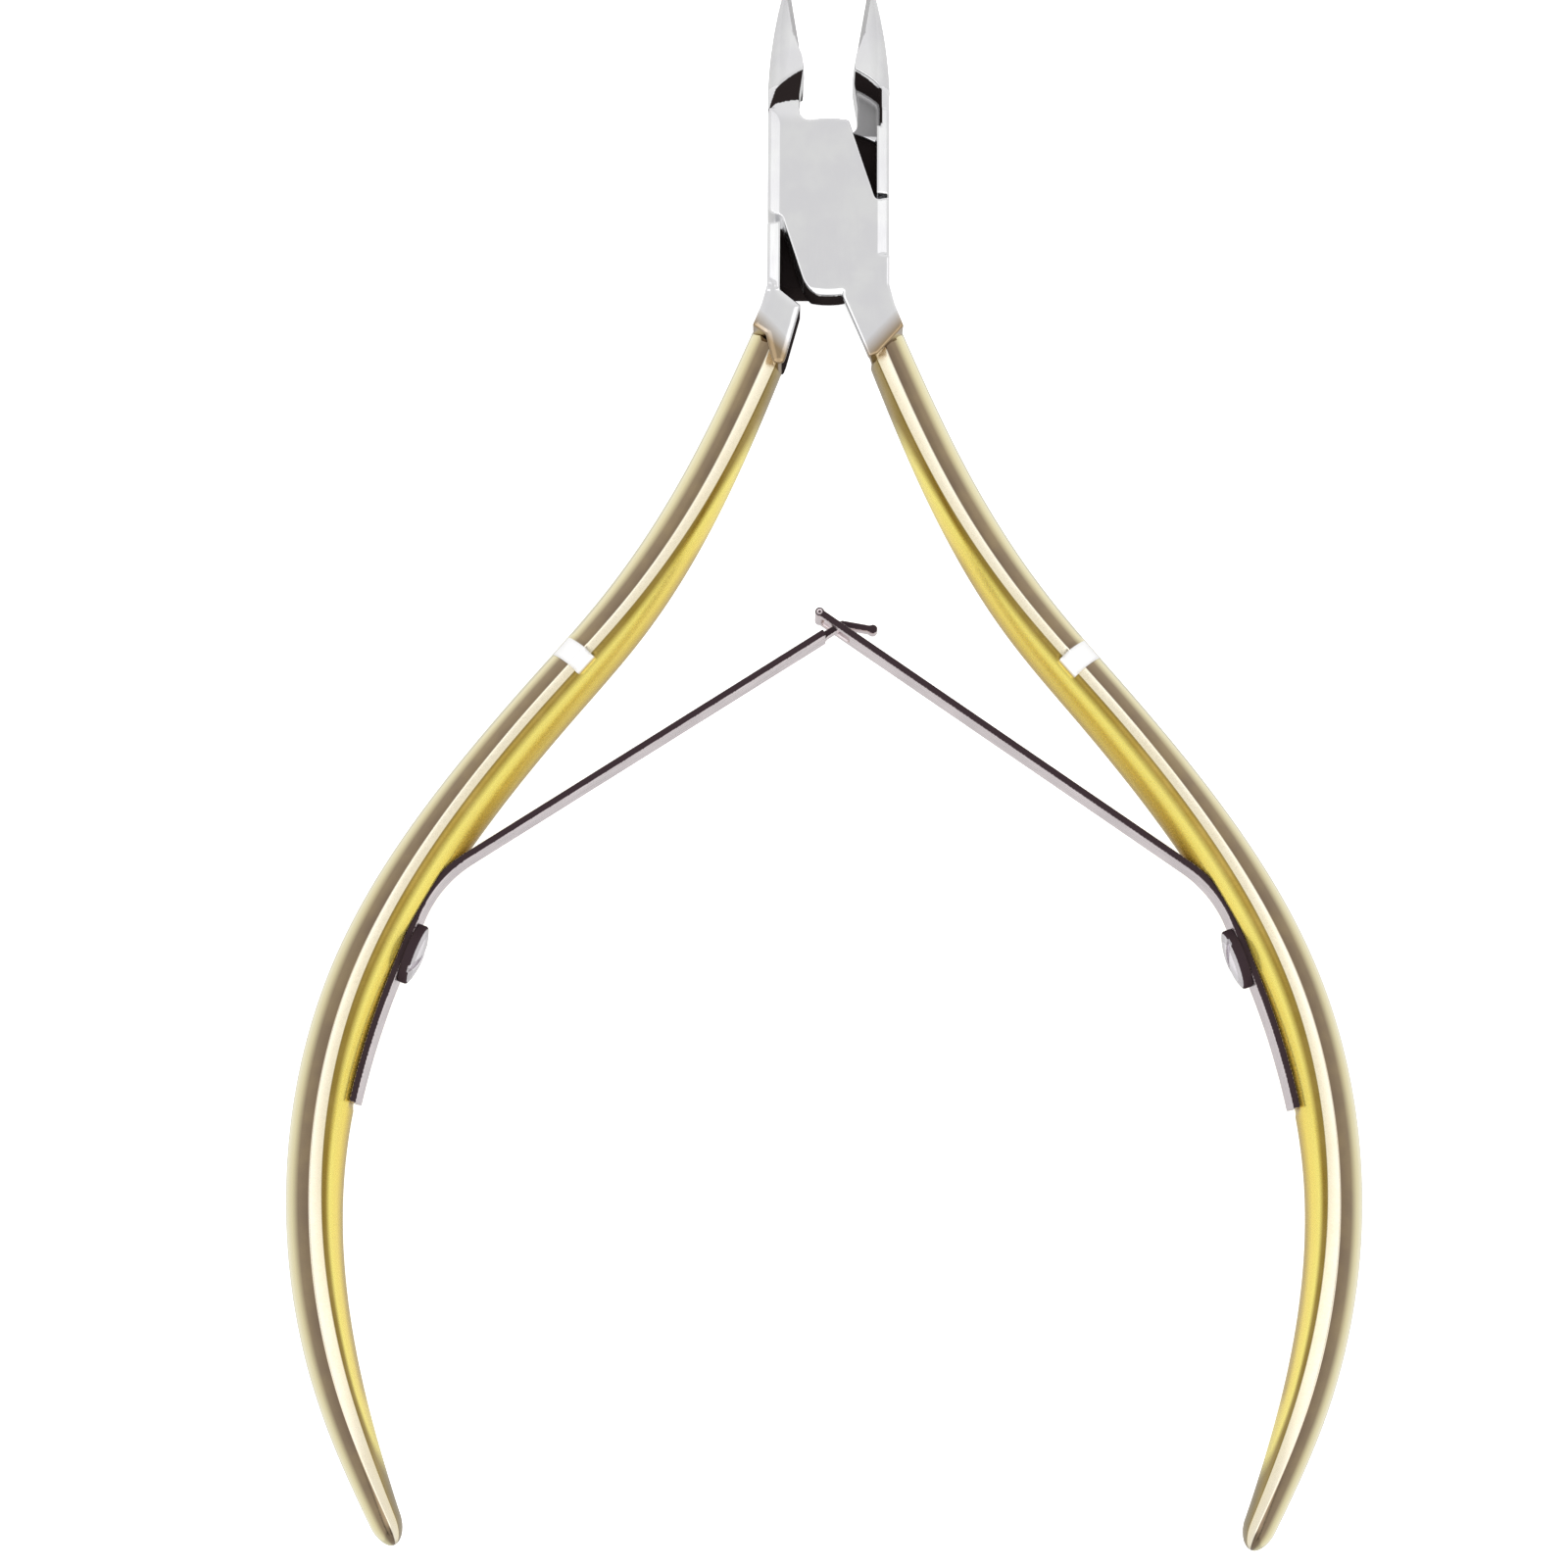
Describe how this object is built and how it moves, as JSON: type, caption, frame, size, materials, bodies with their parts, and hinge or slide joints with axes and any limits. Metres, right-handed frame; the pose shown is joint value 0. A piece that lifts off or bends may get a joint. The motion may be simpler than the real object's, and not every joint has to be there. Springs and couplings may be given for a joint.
{
  "type": "cuticle nipper",
  "caption": "Hand nipper for trimming cuticles: crossed forged halves on a screwed lap joint, small pointed jaws, and leaf springs that hold the bowed handles open.",
  "frame": {"origin": "on the pivot axis, in the rear flat face of the lap joint, which is the face it lies on", "axes": "+Y from the pivot towards the jaws, +X to the right seen from the front, +Z out of the front face along the pivot axis"},
  "size_m": [0.0686, 0.1031, 0.006],
  "materials": {
    "polished_steel": "ground and polished stainless steel",
    "gold_plating": "polished gold plating on forged steel",
    "spring_steel": "rolled spring steel, lightly brushed",
    "screw_steel": "turned steel"
  },
  "bodies": {
    "front_half": {"front_half_head": "polished_steel", "right_handle": "gold_plating", "pivot_screw": "screw_steel", "right_leaf_base": "spring_steel", "right_leaf_screw": "screw_steel"},
    "rear_half": {"rear_half_head": "polished_steel", "left_handle": "gold_plating", "left_leaf_base": "spring_steel", "left_leaf_screw": "screw_steel"},
    "right_spring_arm": {"right_leaf_arm": "spring_steel"},
    "left_spring_arm": {"left_leaf_arm": "spring_steel"}
  },
  "joints": [
    {"name": "pivot", "type": "hinge", "parent": "front_half", "child": "rear_half", "pos_m": [0, 0, 0.003], "axis": [0, 0, 1], "range_deg": [0, 18], "stiffness_Nm_per_rad": 1.2},
    {"name": "right_leaf_flex", "type": "hinge", "parent": "front_half", "child": "right_spring_arm", "pos_m": [0.02329, -0.04353, 0.003], "axis": [0, 0, -1], "range_deg": [0, 12.7]},
    {"name": "left_leaf_flex", "type": "hinge", "parent": "rear_half", "child": "left_spring_arm", "pos_m": [-0.02329, -0.04353, 0.003], "axis": [0, 0, 1], "range_deg": [0, 12.7]}
  ],
  "couplings": [
    {"joint": "right_leaf_flex", "follows": "pivot", "ratio": 0.7},
    {"joint": "left_leaf_flex", "follows": "pivot", "ratio": 0.7}
  ]
}
